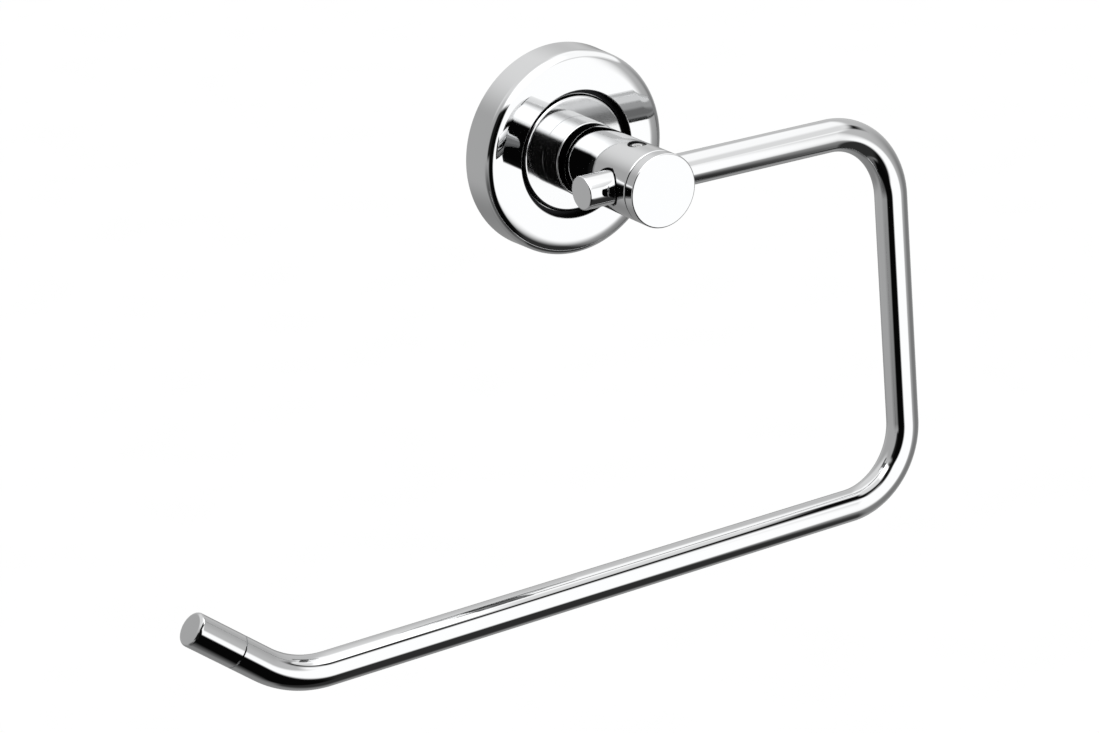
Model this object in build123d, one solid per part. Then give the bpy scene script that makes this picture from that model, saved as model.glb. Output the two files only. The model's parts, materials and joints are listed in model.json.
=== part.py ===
from build123d import *
import os
from math import cos, radians, sin, tan

# Open towel ring: a bent tube clamped in a round post that stands on a wall rose.
# The wall is the plane y = 0 and the room lies towards -Y, so a distance "out" is
# measured from the wall along -Y. The post's axis is the Y axis, +X runs along the
# top of the ring and +Z is up. All sizes are millimetres.

# Rose, a cast cup that hides the wall plate
ROSE_DIAMETER = 50.4
ROSE_TAPER = 0.3
ROSE_DEPTH = 9.3
ROSE_WALL = 2.0
ROSE_EDGE_RADIUS = 2.2
ROSE_INNER_RADIUS = 0.8
ROSE_CROWN_RADIUS = 13.0
ROSE_CROWN_ANGLE = 10.0
ROSE_CROWN_LAND = 0.05

# Recess in the rose's face for the disc, and the seat behind it
RECESS_DIAMETER = 31.0
RECESS_DEPTH = 2.4
RECESS_EDGE_RADIUS = 0.25
SEAT_THICKNESS = 1.6

# Wall plate inside the rose
PLATE_CLEARANCE = 0.3
PLATE_HEADROOM = 0.8
PLATE_BORE_DIAMETER = 18.2
PLATE_EDGE_CHAMFER = 0.4
PLATE_GROOVE_DEPTH = 1.0
WALL_SCREW_HOLE_DIAMETER = 4.5
WALL_SCREW_HEAD_DIAMETER = 8.4

# Step disc in the recess, under the post
DISC_GAP = 1.2
DISC_THICKNESS = 1.3
DISC_EDGE_RADIUS = 0.5

# Post: collar and neck in one turned base, then the head and its cap
HEAD_DIAMETER = 17.6
HEAD_LENGTH = 24.9
HEAD_BACK_RADIUS = 0.5
COLLAR_STEP = 0.3
COLLAR_LENGTH = 6.2
COLLAR_FRONT_RADIUS = 0.6
COLLAR_FOOT_CHAMFER = 0.15
NECK_DEPTH = 1.3
NECK_LENGTH = 2.6
SPIGOT_DIAMETER = 12.0
SPIGOT_SHORTFALL = 0.3
CAP_THICKNESS = 3.0
CAP_EDGE_RADIUS = 0.6
CAP_JOINT_CHAMFER = 0.15
CAP_SPIGOT_DIAMETER = 11.0

# Cross bore that holds the ring, placed from the joint between head and cap
BORE_FROM_CAP = 7.4
BORE_CLEARANCE = 0.25
BORE_RIM_CHAMFER = 0.2
BORE_WALL = 1.15
THREAD_WALL = 1.75

# Ring: corner points of the tube's centre line, measured from the post's axis
TUBE_DIAMETER = 8.0
TUBE_WALL = 1.0
RING_TILT = 5.5
RING_RIGHT = 73.2
RING_DROP = 93.85
RING_LEFT = 101.7
RING_BEND_RADIUS = 18.2
STUB_LENGTH = 15.7
END_ANGLE = 39.4
END_BEND_RADIUS = 24.7
END_RUN = 7.5

# Plugs in the tube's two ends
END_CAP_LENGTH = 13.1
END_CAP_EDGE_RADIUS = 0.5
END_CAP_SEAM_CHAMFER = 0.2
STUB_PLUG_THICKNESS = 0.9
STUB_PLUG_EDGE_RADIUS = 0.4
PLUG_SPIGOT_LENGTH = 6.0

# Screws
POST_SCREW_DIAMETER = 5.0
POST_SCREW_HEAD_DIAMETER = 8.5
POST_SCREW_HEAD_HEIGHT = 2.6
POST_SCREW_RUNOUT = 1.9
WASHER_DIAMETER = 16.0
WASHER_THICKNESS = 1.0
ROD_SCREW_DIAMETER = 4.0
ROD_SCREW_POINT_DIAMETER = 2.6
ROD_SCREW_RECESS = 0.4
ROSE_SCREW_DIAMETER = 3.0
ROSE_SCREW_POINT_DIAMETER = 1.0
ROSE_SCREW_RECESS = 0.3
SCREW_POINT_GAP = 0.05

# Fits
THREAD_FIT = 0.05
LOCATING_FIT = 0.1
MATCH_TOLERANCE = 0.001

# Distances out from the wall
rose_inside = ROSE_DEPTH - ROSE_WALL
seat_front = ROSE_DEPTH - RECESS_DEPTH
seat_inside = seat_front - SEAT_THICKNESS
plate_front = seat_inside - PLATE_HEADROOM
disc_front = seat_front + DISC_THICKNESS
collar_front = disc_front + COLLAR_LENGTH
head_back = collar_front + NECK_LENGTH
head_front = head_back + HEAD_LENGTH
cap_front = head_front + CAP_THICKNESS
ring_out = head_front - BORE_FROM_CAP

# Radii and depths that follow from the driving sizes
rose_radius = ROSE_DIAMETER / 2
recess_radius = RECESS_DIAMETER / 2
plate_radius = rose_radius - ROSE_WALL - PLATE_CLEARANCE
wall_screw_offset = (plate_radius + PLATE_BORE_DIAMETER / 2) / 2
disc_radius = recess_radius - DISC_GAP
head_radius = HEAD_DIAMETER / 2
collar_radius = head_radius + COLLAR_STEP
neck_radius = head_radius - NECK_DEPTH
spigot_radius = SPIGOT_DIAMETER / 2
spigot_hole_radius = spigot_radius + LOCATING_FIT
tube_radius = TUBE_DIAMETER / 2
tube_bore_radius = tube_radius - TUBE_WALL
bore_radius = tube_radius + BORE_CLEARANCE
cap_recess = BORE_FROM_CAP - bore_radius - BORE_WALL
thread_depth = HEAD_LENGTH - BORE_FROM_CAP - bore_radius - THREAD_WALL
post_screw_radius = POST_SCREW_DIAMETER / 2
post_screw_hole_radius = post_screw_radius + LOCATING_FIT


def turned(*profile):
    """Solid turned about the post's axis from (radius, distance out) corners."""
    outline = make_face(Polyline(*[(radius, -out) for radius, out in profile], close=True))
    return revolve(outline, Axis.Y)


def bar(radius, near, far):
    """Cylinder about the post's axis between two distances out."""
    return turned((0, near), (radius, near), (radius, far), (0, far))


def rim(piece, radius, out):
    """The round edges of a turned piece at one radius and distance out."""
    return piece.edges().filter_by(
        lambda edge: edge.geom_type == GeomType.CIRCLE
        and abs(edge.radius - radius) < MATCH_TOLERANCE
        and abs(edge.arc_center.Y + out) < MATCH_TOLERANCE
    )


def peg(radius, low, high):
    """Cylinder about the Z axis between two heights."""
    return Pos(0, 0, low) * Cylinder(radius, high - low, align=(Align.CENTER, Align.CENTER, Align.MIN))


def hex_socket(across_flats, depth, top):
    """Hexagonal drive recess that opens upwards at a height on the Z axis."""
    outline = RegularPolygon(across_flats / 2, 6, major_radius=False)
    return Pos(0, 0, top - depth) * extrude(outline, depth)


def set_screw(diameter, length, point_radius):
    """Headless screw on the Z axis, point down at z = 0, with a hexagonal socket of half its diameter."""
    radius = diameter / 2
    point_length = radius - point_radius
    body = peg(radius, point_length, length)
    body += Cone(point_radius, radius, point_length, align=(Align.CENTER, Align.CENTER, Align.MIN))
    return body - hex_socket(radius, length / 2, length)


def make_wall_plate():
    """Flat ring with two countersunk screw holes and a V groove round its edge for the rose's screw."""
    groove_out = plate_front / 2
    plate = turned(
        (PLATE_BORE_DIAMETER / 2, 0),
        (plate_radius, 0),
        (plate_radius, groove_out - PLATE_GROOVE_DEPTH),
        (plate_radius - PLATE_GROOVE_DEPTH, groove_out),
        (plate_radius, groove_out + PLATE_GROOVE_DEPTH),
        (plate_radius, plate_front - PLATE_EDGE_CHAMFER),
        (plate_radius - PLATE_EDGE_CHAMFER, plate_front),
        (PLATE_BORE_DIAMETER / 2, plate_front),
    )
    hole_radius = WALL_SCREW_HOLE_DIAMETER / 2
    sink_radius = WALL_SCREW_HEAD_DIAMETER / 2
    sink_depth = sink_radius - hole_radius
    hole = turned(
        (0, 0),
        (hole_radius, 0),
        (hole_radius, plate_front - sink_depth),
        (sink_radius, plate_front),
        (0, plate_front),
    )
    for side in (-1, 1):
        plate -= Pos(side * wall_screw_offset, 0, 0) * hole
    return plate


def make_rose_cover():
    """Cup with a crowned face, a recess round the post's hole and a screw hole on its underside."""
    inner = rose_radius - ROSE_WALL
    boss_radius = recess_radius + ROSE_WALL
    front_radius = rose_radius - ROSE_TAPER
    crown = radians(ROSE_CROWN_ANGLE)
    crown_reach = ROSE_CROWN_RADIUS * tan(crown / 2)
    edge_reach = ROSE_EDGE_RADIUS * tan(radians(45) - crown / 2)
    crown_width = (crown_reach + edge_reach + ROSE_CROWN_LAND) * cos(crown)
    crown_corner = front_radius - crown_width
    edge_corner = ROSE_DEPTH - crown_width * tan(crown)
    cover = turned(
        (spigot_hole_radius, seat_inside),
        (boss_radius, seat_inside),
        (boss_radius, rose_inside),
        (inner, rose_inside),
        (inner, 0),
        (rose_radius, 0),
        (front_radius, edge_corner),
        (crown_corner, ROSE_DEPTH),
        (recess_radius, ROSE_DEPTH),
        (recess_radius, seat_front),
        (spigot_hole_radius, seat_front),
    )
    cover = fillet(rim(cover, front_radius, edge_corner), ROSE_EDGE_RADIUS)
    cover = fillet(rim(cover, crown_corner, ROSE_DEPTH), ROSE_CROWN_RADIUS)
    cover = fillet(rim(cover, recess_radius, ROSE_DEPTH), RECESS_EDGE_RADIUS)
    cover = fillet(rim(cover, inner, rose_inside), ROSE_INNER_RADIUS)
    screw_hole = peg(ROSE_SCREW_DIAMETER / 2 + THREAD_FIT, -rose_radius - ROSE_WALL, -plate_radius)
    return cover - Pos(0, -plate_front / 2, 0) * screw_hole


def make_rose_set_screw():
    """Cone-point screw through the rose's underside into the wall plate's groove."""
    point_radius = ROSE_SCREW_POINT_DIAMETER / 2
    point_height = -plate_radius + PLATE_GROOVE_DEPTH - point_radius - SCREW_POINT_GAP
    length = point_height + rose_radius - ROSE_SCREW_RECESS
    screw = Rot(180, 0, 0) * set_screw(ROSE_SCREW_DIAMETER, length, point_radius)
    return Pos(0, -plate_front / 2, point_height) * screw


def make_step_disc():
    """Thin disc with a rounded front edge, set in the rose's recess under the post's collar."""
    disc = turned(
        (spigot_hole_radius, seat_front),
        (disc_radius, seat_front),
        (disc_radius, disc_front),
        (spigot_hole_radius, disc_front),
    )
    return fillet(rim(disc, disc_radius, disc_front), DISC_EDGE_RADIUS)


def make_post_base():
    """Collar, the neck in front of it and the spigot that centres it in the disc and the rose."""
    spigot_back = seat_inside + SPIGOT_SHORTFALL
    base = turned(
        (post_screw_hole_radius, spigot_back),
        (spigot_radius, spigot_back),
        (spigot_radius, disc_front),
        (collar_radius - COLLAR_FOOT_CHAMFER, disc_front),
        (collar_radius, disc_front + COLLAR_FOOT_CHAMFER),
        (collar_radius, collar_front),
        (neck_radius, collar_front),
        (neck_radius, head_back),
        (post_screw_hole_radius, head_back),
    )
    return fillet(rim(base, collar_radius, collar_front), COLLAR_FRONT_RADIUS)


def make_post_head():
    """Cylinder with the cross bore, the rod screw's hole, the post screw's thread and the cap's recess."""
    head = bar(head_radius, head_back, head_front)
    head = fillet(rim(head, head_radius, head_back), HEAD_BACK_RADIUS)
    head -= bar(post_screw_radius + THREAD_FIT, head_back, head_back + thread_depth)
    head -= bar(CAP_SPIGOT_DIAMETER / 2 + LOCATING_FIT, head_front - cap_recess, head_front)
    at_ring = Pos(0, -ring_out, 0)
    head -= at_ring * Rot(0, 90, 0) * Cylinder(bore_radius, 2 * HEAD_DIAMETER)
    bore_mouths = head.edges().filter_by(
        lambda edge: edge.geom_type not in (GeomType.CIRCLE, GeomType.LINE)
    )
    head = chamfer(bore_mouths, BORE_RIM_CHAMFER)
    return head - at_ring * peg(ROD_SCREW_DIAMETER / 2 + THREAD_FIT, 0, HEAD_DIAMETER)


def make_head_cap():
    """Round cap with a rounded edge, pressed into the head's front."""
    spigot_back = head_front - cap_recess + LOCATING_FIT
    cap = turned(
        (0, spigot_back),
        (CAP_SPIGOT_DIAMETER / 2, spigot_back),
        (CAP_SPIGOT_DIAMETER / 2, head_front),
        (head_radius - CAP_JOINT_CHAMFER, head_front),
        (head_radius, head_front + CAP_JOINT_CHAMFER),
        (head_radius, cap_front),
        (0, cap_front),
    )
    return fillet(rim(cap, head_radius, cap_front), CAP_EDGE_RADIUS)


def make_post_screw():
    """Socket-head screw from inside the rose through the base into the head."""
    head_top = seat_inside - WASHER_THICKNESS
    head_bottom = head_top - POST_SCREW_HEAD_HEIGHT
    tip = head_back + thread_depth - POST_SCREW_RUNOUT
    screw = turned(
        (0, head_bottom),
        (POST_SCREW_HEAD_DIAMETER / 2, head_bottom),
        (POST_SCREW_HEAD_DIAMETER / 2, head_top),
        (post_screw_radius, head_top),
        (post_screw_radius, tip),
        (0, tip),
    )
    socket = hex_socket(post_screw_radius, POST_SCREW_HEAD_HEIGHT / 2, -head_bottom)
    return screw - Rot(-90, 0, 0) * socket


def make_post_washer():
    """Plain washer between the post screw's head and the inside of the rose's seat."""
    back = seat_inside - WASHER_THICKNESS
    return turned(
        (post_screw_hole_radius, back),
        (WASHER_DIAMETER / 2, back),
        (WASHER_DIAMETER / 2, seat_inside),
        (post_screw_hole_radius, seat_inside),
    )


def make_rod_set_screw():
    """Flat-point screw in the top of the head that clamps the ring."""
    length = head_radius - ROD_SCREW_RECESS - tube_radius
    point_radius = ROD_SCREW_POINT_DIAMETER / 2
    return Pos(0, -ring_out, tube_radius) * set_screw(ROD_SCREW_DIAMETER, length, point_radius)


def ring_centre_line():
    """The tube's centre line, from the stub through three bends to the turned-up end."""
    tilt = radians(RING_TILT)
    rise = radians(END_ANGLE)
    ring_plane = Plane(origin=(0, -ring_out, 0), x_dir=(1, 0, 0), z_dir=(0, -cos(tilt), sin(tilt)))
    end_length = END_BEND_RADIUS * tan(rise / 2) + END_RUN
    corners = [
        (STUB_PLUG_THICKNESS - STUB_LENGTH, 0),
        (RING_RIGHT, 0),
        (RING_RIGHT, -RING_DROP),
        (-RING_LEFT, -RING_DROP),
        (-RING_LEFT - end_length * cos(rise), -RING_DROP + end_length * sin(rise)),
    ]
    bends = [RING_BEND_RADIUS, RING_BEND_RADIUS, END_BEND_RADIUS]
    return ring_plane * FilletPolyline(*corners, radius=bends)


def make_ring_tube(centre_line):
    """Tube swept along the centre line."""
    section = (centre_line ^ 0) * (Circle(tube_radius) - Circle(tube_bore_radius))
    return sweep(section, path=centre_line)


def plug(length, edge_radius, seam_chamfer):
    """Solid end of the tube's own diameter on the Z axis, with a spigot that fits inside the tube."""
    body = peg(tube_radius, 0, length)
    body = fillet(body.edges().group_by(Axis.Z)[-1], edge_radius)
    if seam_chamfer:
        body = chamfer(body.edges().group_by(Axis.Z)[0], seam_chamfer)
    return body + peg(tube_bore_radius - THREAD_FIT, -PLUG_SPIGOT_LENGTH, 0)


def make_end_cap(centre_line):
    """Long cap that closes the turned-up end, with a fine seam where it meets the tube."""
    return (centre_line ^ 1) * plug(END_CAP_LENGTH, END_CAP_EDGE_RADIUS, END_CAP_SEAM_CHAMFER)


def make_stub_plug(centre_line):
    """Short plug that closes the stub beside the post."""
    return (centre_line ^ 0) * Rot(180, 0, 0) * plug(STUB_PLUG_THICKNESS, STUB_PLUG_EDGE_RADIUS, 0)


centre_line = ring_centre_line()
pieces = {
    "wall_plate": make_wall_plate(),
    "rose_cover": make_rose_cover(),
    "rose_set_screw": make_rose_set_screw(),
    "step_disc": make_step_disc(),
    "post_base": make_post_base(),
    "post_head": make_post_head(),
    "head_cap": make_head_cap(),
    "post_screw": make_post_screw(),
    "post_washer": make_post_washer(),
    "rod_set_screw": make_rod_set_screw(),
    "ring_tube": make_ring_tube(centre_line),
    "end_cap": make_end_cap(centre_line),
    "stub_plug": make_stub_plug(centre_line),
}
os.makedirs("parts", exist_ok=True)
for name, piece in pieces.items():
    export_step(piece, f"parts/{name}.step")
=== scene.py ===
"""Open towel ring: fine meshes, finishes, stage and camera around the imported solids."""
import json
from collections import namedtuple
from math import atan2, cos, hypot, pi, radians, sin, sqrt, tan

import bmesh
import bpy
from bpy.props import FloatProperty, FloatVectorProperty, IntProperty, PointerProperty
from mathutils import Matrix, Vector


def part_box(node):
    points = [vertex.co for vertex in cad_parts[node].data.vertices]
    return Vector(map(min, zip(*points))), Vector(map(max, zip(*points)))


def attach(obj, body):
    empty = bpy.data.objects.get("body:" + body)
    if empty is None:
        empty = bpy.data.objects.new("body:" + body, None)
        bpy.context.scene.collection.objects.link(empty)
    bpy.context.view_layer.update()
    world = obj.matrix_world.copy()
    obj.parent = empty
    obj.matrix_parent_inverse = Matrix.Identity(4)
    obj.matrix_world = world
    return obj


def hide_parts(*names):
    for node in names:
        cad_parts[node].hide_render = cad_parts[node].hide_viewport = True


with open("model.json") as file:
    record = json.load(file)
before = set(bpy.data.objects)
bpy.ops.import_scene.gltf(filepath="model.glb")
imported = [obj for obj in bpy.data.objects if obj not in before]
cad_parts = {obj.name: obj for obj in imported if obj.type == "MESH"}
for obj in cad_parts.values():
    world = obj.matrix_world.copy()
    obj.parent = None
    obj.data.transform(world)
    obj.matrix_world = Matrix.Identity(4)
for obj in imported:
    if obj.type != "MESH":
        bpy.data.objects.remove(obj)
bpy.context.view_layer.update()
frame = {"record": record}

bl_info = {
    "name": "Open towel ring",
    "version": (1, 0, 0),
    "blender": (4, 5, 0),
    "location": "3D View > Sidebar > Towel ring",
    "description": "Builds the pieces, finishes and stage of a chrome open towel ring",
    "category": "Object",
}

WALL_SCREWS = next(mount for mount in frame["record"]["mounts"] if mount["name"] == "wall_screws")
MM = 0.001
BODY = "root"
OUTWARD = Vector((0, -1, 0))
MERGE_DISTANCE = 1e-7

# How far a cutter reaches past the piece that it cuts
CUT_PAST = MM

# The two ways across the upright set screw, and across the level tube, from the ring's seat in the head
ACROSS_SCREW = Vector((1, 1, 0))
ACROSS_TUBE = Vector((0, 1, 1))

# Values of each finish's pattern at which its change starts and is full
HAZE_SPREAD = (0.3, 0.75)
PIT_SPREAD = (0.35, 0.7)
ZINC_SPREAD = (0.2, 0.8)
SPECK_SPREAD = (0.3, 0.7)

# Rim of the painted highlight inside the ring's set screw's socket, in shares of the screw's radius
SOCKET_RIM = (0.58, 0.62)

# Where the tent's left paper ends and its right paper starts, as the sideways part of the line of sight
PAPER_CHANGE = (-0.5, 0.7)

# Heights, in degrees, at which the tent's low cloth and its white ceiling start and are full
LOW_CLOTH_SPREAD = (-15, -84)
CEILING_SPREAD = (32, 83)

# Least part of a line of sight that counts as going towards a panel, which keeps its angles sure behind it
LEAST_AHEAD = 1e-6

# Fineness of the tent and the floor
TENT_DIVISIONS = 5
FLOOR_STEPS = 64

# Radius of a piece turned about the post's axis, and where it starts and ends, out from the wall
Turned = namedtuple("Turned", "radius back front")


def turned_node(name):
    """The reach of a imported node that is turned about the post's axis."""
    low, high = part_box(name)
    return Turned(high.x, -high.y, -low.y)


def length(name, description, millimetres):
    """A length property with its default in millimetres."""
    return FloatProperty(
        name=name, description=description, default=millimetres * MM, min=0,
        subtype="DISTANCE", unit="LENGTH",
    )


def angle(name, description, degrees):
    """An angle property with its default in degrees."""
    return FloatProperty(
        name=name, description=description, default=radians(degrees), subtype="ANGLE", unit="ROTATION"
    )


def count(name, description, default):
    """A property for a number of steps."""
    return IntProperty(name=name, description=description, default=default, min=1)


def share(name, description, default):
    """A property for a plain number from 0 up."""
    return FloatProperty(name=name, description=description, default=default, min=0)


def colour(name, description, default):
    """A colour property, in linear values."""
    return FloatVectorProperty(
        name=name, description=description, default=default, min=0, max=1, size=3, subtype="COLOR"
    )


def spot(name, description, default):
    """A property for a place, in metres."""
    return FloatVectorProperty(
        name=name, description=description, default=default, size=3, subtype="XYZ", unit="LENGTH"
    )


class RoseSizes(bpy.types.PropertyGroup):
    """Sizes of the rose, the step disc and the wall plate"""

    taper: length("Rose taper", "How much smaller the rose's radius is at its front", 0.3)
    edge_radius: length("Rose edge", "Rounding of the rose's front edge", 2.2)
    crown_radius: length("Crown", "Rounding where the rose's flat face starts to fall away", 13.0)
    crown_angle: angle("Crown angle", "Slope of the rose's face at its edge", 10)
    crown_land: length("Crown land", "Straight slope between the crown and the edge", 0.05)
    inner_radius: length("Rose corner", "Rounding inside the rose's front corner", 0.8)
    wall: length("Rose wall", "Thickness of the rose's wall", 2.0)
    recess: length("Recess", "Radius of the recess that takes the step disc", 15.5)
    recess_edge: length("Recess edge", "Rounding of the recess's rim", 0.25)
    screw_hole: length("Screw hole", "Radius of the hole in the rose's underside", 1.55)
    disc_edge: length("Disc edge", "Rounding of the step disc's front edge", 0.85)
    plate_bore: length("Plate bore", "Radius of the hole in the middle of the wall plate", 9.1)
    plate_groove: length("Plate groove", "Depth of the V groove round the wall plate", 1.0)
    plate_edge: length("Plate edge", "Chamfer on the wall plate's front edge", 0.4)
    plate_sink: length("Countersink", "Radius of the countersink round each wall screw", 4.2)


class PostSizes(bpy.types.PropertyGroup):
    """Sizes of the post's base, head and cap"""

    spigot: length("Base spigot", "Radius of the spigot that passes through the disc and the rose", 6.0)
    spigot_gap: length("Spigot gap", "Clearance round that spigot", 0.1)
    collar: length("Collar", "Length of the collar", 6.2)
    collar_edge: length("Collar edge", "Rounding of the collar's front edge", 0.3)
    collar_foot: length("Collar foot", "Chamfer where the collar meets the disc", 0.15)
    neck_depth: length("Neck", "Depth of the neck below the head's side", 1.3)
    screw_hole: length("Screw hole", "Radius of the hole for the post screw", 2.6)
    head_edge: length("Head edge", "Rounding of the head's back edge", 0.3)
    thread_hole: length("Thread hole", "Radius of the threaded hole in the head", 2.55)
    thread_depth: length("Thread depth", "Depth of that hole", 11.5)
    bore: length("Cross bore", "Radius of the bore that holds the ring", 4.25)
    bore_rim: length("Bore rim", "Chamfer round the bore's mouths", 0.2)
    rod_screw_hole: length("Rod screw hole", "Radius of the hole for the ring's set screw", 2.05)
    rod_screw_rim: length("Rod screw rim", "Chamfer round that hole", 0.2)
    cap_joint: length("Cap joint", "Chamfer where the cap meets the head", 0.25)
    head_front: length("Head front", "Rounding of the head's edge at that joint", 0.55)
    cap_edge: length("Cap edge", "Rounding of the cap's front edge", 0.35)
    cap_spigot: length("Cap spigot", "Radius of the cap's spigot", 5.5)


class RingSizes(bpy.types.PropertyGroup):
    """Sizes of the bent tube and its two plugs"""

    wall: length("Tube wall", "Thickness of the tube's wall", 1.0)
    bend: length("Bend", "Radius of the two right-angle bends", 18.2)
    left: length("Left corner", "Distance from the post's axis to the corner of the turned-up end", 101.7)
    end_bend: length("End bend", "Radius of the bend before the turned-up end", 24.7)
    end_angle: angle("End angle", "Rise of the turned-up end", 39.4)
    end_run: length("End run", "Straight tube between the end bend and the cap", 7.5)
    cap: length("End cap", "Length of the cap on the turned-up end", 13.1)
    cap_edge: length("Cap edge", "Rounding of that cap's outer edge", 0.95)
    cap_seam: length("Cap seam", "Chamfer where that cap meets the tube", 0.4)
    plug: length("Stub plug", "Thickness of the plug in the stub", 0.9)
    plug_edge: length("Plug edge", "Rounding of the plug's outer edge", 0.4)
    spigot: length("Plug spigot", "Length of the spigots inside the tube", 6.0)
    spigot_gap: length("Spigot gap", "Clearance between spigot and tube", 0.05)


class ScrewSizes(bpy.types.PropertyGroup):
    """Sizes of the screws"""

    rod_point: length("Rod screw point", "Radius of the flat point on the ring's set screw", 1.3)
    rose_point: length("Rose screw point", "Radius of the point on the rose's set screw", 0.5)
    post_shank: length("Post screw", "Radius of the post screw's shank", 2.5)
    post_head: length("Post screw head", "Height of the post screw's head", 2.6)
    edge: length("Screw edge", "Chamfer on the screws' outer edges", 0.25)


class MeshDetail(bpy.types.PropertyGroup):
    """Fineness of the meshes"""

    edge_break: length("Edge break", "Rounding of edges that are drawn sharp", 0.08)
    turn_steps: count("Turn steps", "Steps round a turned piece", 256)
    rounding_steps: count("Rounding steps", "Steps across a rounded edge", 12)
    tube_steps: count("Tube steps", "Steps round the tube", 96)
    bend_steps: count("Bend steps", "Steps along a right-angle bend", 60)
    sharp_angle: angle("Sharp angle", "Edges that turn by more than this stay sharp", 28)


class Finishes(bpy.types.PropertyGroup):
    """Colours and gloss of the metals"""

    chrome: colour("Chrome", "Colour of the chrome plate", (0.62, 0.624, 0.628))
    chrome_roughness: share("Chrome roughness", "Roughness of the brightest chrome", 0.012)
    chrome_haze: share("Chrome haze", "Roughness of the dullest chrome", 0.035)
    haze_scale: share("Haze scale", "Patches of haze to the metre", 90)
    chrome_waves: length("Chrome waves", "Depth of the polish's slow waves", 0.004)
    wave_scale: share("Wave scale", "Slow waves to the metre", 140)
    satin_roughness: share("Satin roughness", "Roughness that the step disc and the collar add", 0.08)
    # The groove colour is painted shade laid in the grooves, the neck, the hole and bore rims and the cap
    # joint; groove_rim and neck_rim set where that painted shade starts, and groove_soft how wide it fades
    groove: colour("Groove", "Colour of the bare metal in the deep grooves", (0.012, 0.012, 0.013))
    groove_roughness: share("Groove roughness", "Roughness that the deep grooves add", 0.3)
    groove_soft: length("Groove softness", "Width over which the plating thins out", 0.06)
    groove_rim: length("Groove rim", "Depth below the rose's face at which the plating ends", 0.1)
    neck_rim: length("Neck rim", "Depth below the head's side at which the plating ends", 0.04)
    steel: colour("Steel", "Colour of the plain steel screws", (0.5, 0.5, 0.505))
    steel_roughness: share("Steel roughness", "Roughness of the clean steel", 0.2)
    steel_rings: length("Steel rings", "Depth of the tool rings on the screws", 0.002)
    steel_ring_scale: share("Steel ring scale", "Fineness of those tool rings", 2200)
    pit_shade: share("Pit shade", "Brightness of the steel's pits against the clean steel", 0.72)
    pit_roughness: share("Pit roughness", "Roughness of the steel's pits", 0.34)
    pit_scale: share("Pit scale", "Pits to the metre", 700)
    # Painted shade over the top end of the ring's set screw
    screw_top_shade: colour("Oxide", "Colour of the dark film on the ring's set screw", (0.02, 0.02, 0.021))
    screw_top_shade_depth: length("Oxide depth", "How far down that screw the film goes", 1.0)
    screw_top_shade_soft: length("Oxide softness", "Width over which the film ends", 0.1)
    # Pale painted highlight inside the socket of the ring's set screw
    socket: colour("Socket", "Colour of the pale film in that screw's socket", (0.95, 0.95, 0.95))
    zinc: colour("Zinc", "Colour of the zinc plate", (0.5, 0.515, 0.53))
    zinc_roughness: share("Zinc roughness", "Roughness of the brightest zinc grains", 0.3)
    zinc_bloom: length("Zinc bloom", "Depth of the zinc's uneven surface", 0.01)
    bloom_scale: share("Bloom scale", "Waves to the metre in that surface", 160)
    grain_scale: share("Grain scale", "Zinc grains to the metre", 420)
    grain_share: share("Grain share", "Part of the grains in the zinc's pattern, beside the bloom", 0.45)
    grain_shade: share("Grain shade", "Brightness of the darkest zinc grains against the zinc", 0.7)
    grain_roughness: share("Grain roughness", "Roughness of the darkest zinc grains", 0.5)


class Stage(bpy.types.PropertyGroup):
    """Camera, floor and light"""

    camera: spot("Camera", "Place of the camera", (-0.36854, -0.57604, 0.21043))
    aim: spot("Aim", "Point in the middle of the picture", (-0.02572, -0.0345, -0.03984))
    roll: angle("Roll", "Turn of the camera about its own line of sight", 1.902)
    lens: FloatProperty(name="Lens", description="Focal length in millimetres", default=97.84, min=1)
    tent_radius: length("Tent", "Radius of the light tent round the ring", 3000)
    floor_drop: length("Floor", "Distance from the tent down to the floor", 20)
    floor_radius: length("Floor radius", "Radius of the floor", 20000)
    floor: colour("Floor colour", "Colour of the floor", (0.8, 0.8, 0.8))
    speck_scale: share("Speck scale", "Specks to the metre on the floor", 4)
    speck_lift: share("Speck lift", "Brightness of the specks against the floor", 1.01)
    paper: share("Paper", "Brightness of the tent's grey paper on the left", 0.376)
    paper_right: share("Right paper", "Brightness of the tent's grey paper on the right", 0.503)
    low_cloth: share("Low cloth", "Brightness of the dim cloth underneath", 0.2)
    ceiling: share("Ceiling", "Brightness of the white cloth overhead", 1.06)
    glow: share("Glow", "Strength of the tent's own light in the metal", 1.5)


class TowelRing(bpy.types.PropertyGroup):
    """All settings of the towel ring"""

    rose: PointerProperty(type=RoseSizes)
    post: PointerProperty(type=PostSizes)
    ring: PointerProperty(type=RingSizes)
    screws: PointerProperty(type=ScrewSizes)
    detail: PointerProperty(type=MeshDetail)
    finishes: PointerProperty(type=Finishes)
    stage: PointerProperty(type=Stage)


def settings():
    """The settings kept in the scene."""
    return bpy.context.scene.towel_ring


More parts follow.
